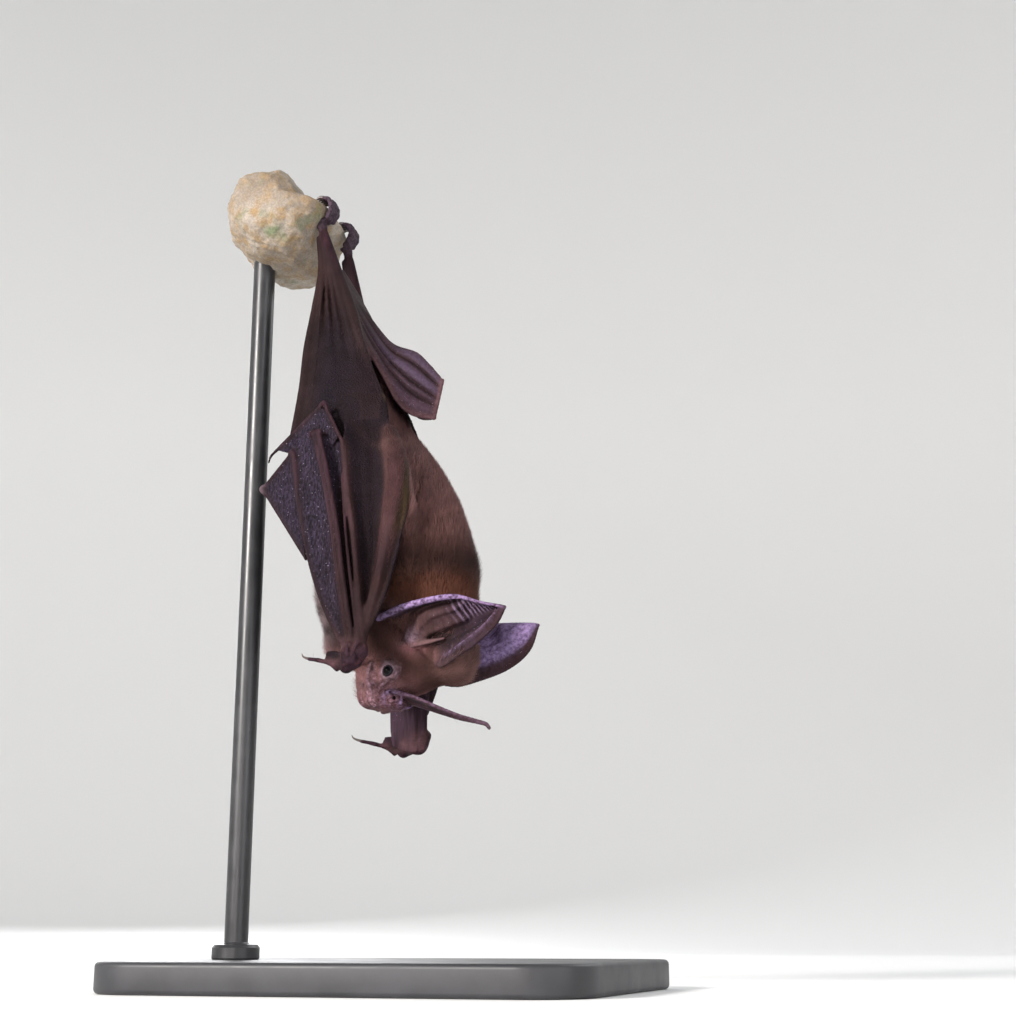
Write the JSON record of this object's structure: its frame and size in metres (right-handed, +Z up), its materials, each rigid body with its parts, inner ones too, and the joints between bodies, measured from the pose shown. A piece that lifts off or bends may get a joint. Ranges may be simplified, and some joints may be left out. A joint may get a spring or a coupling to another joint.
{
  "type": "hanging sword-nosed bat model on display stand",
  "caption": "Life-size still model of a sword-nosed bat hanging head-down by its feet from a rock, wings folded, on a plain base with a rod",
  "frame": {"origin": "centre of the underside of the stand's base, on the surface it stands on", "axes": "+Z up; +X the side of the bat's back, away from the rod; +Y the bat's left side, -Y its right side, which faces the picture's camera"},
  "size_m": [0.1, 0.08, 0.1831],
  "materials": {
    "coat": "short dense grey-brown fur, more rufous at the neck",
    "ear_skin": "thin naked skin, satin, purplish brown",
    "arm_skin": "thinly haired skin over the arm bones, mauve brown",
    "wing_skin": "dark pebbled wing membrane with a satin sheen",
    "eye": "wet black eye",
    "rock": "cast rough limestone",
    "stand_rod": "satin black steel rod",
    "stand_base": "matt black acrylic plate"
  },
  "bodies": {
    "root": {"ear_left": "ear_skin", "ear_right": "ear_skin", "eye_left": "eye", "eye_right": "eye", "finger_3_left": "wing_skin", "finger_3_right": "wing_skin", "finger_4_left": "wing_skin", "finger_4_right": "wing_skin", "finger_5_left": "wing_skin", "finger_5_right": "wing_skin", "foot_left": "wing_skin", "foot_right": "wing_skin", "forearm_left": "arm_skin", "forearm_right": "arm_skin", "hand_left": "wing_skin", "hand_right": "wing_skin", "head": "coat", "leg_left": "wing_skin", "leg_right": "wing_skin", "neck": "coat", "nose_leaf": "ear_skin", "stand_base": "stand_base", "stand_perch": "rock", "stand_rod": "stand_rod", "tail": "wing_skin", "tail_membrane": "wing_skin", "thumb_left": "arm_skin", "thumb_right": "arm_skin", "tragus_left": "ear_skin", "tragus_right": "ear_skin", "trunk": "coat", "upper_arm_left": "arm_skin", "upper_arm_right": "arm_skin", "web_arm_edge_left": "wing_skin", "web_arm_edge_right": "wing_skin", "web_body_left": "wing_skin", "web_body_right": "wing_skin", "web_finger_5_tip_left": "wing_skin", "web_finger_5_tip_right": "wing_skin", "web_fingers_3_4_left": "wing_skin", "web_fingers_3_4_right": "wing_skin", "web_fingers_4_5_left": "wing_skin", "web_fingers_4_5_right": "wing_skin", "web_fingers_5_arm_left": "wing_skin", "web_fingers_5_arm_right": "wing_skin", "web_tip_left": "wing_skin", "web_tip_right": "wing_skin"}
  },
  "joints": []
}
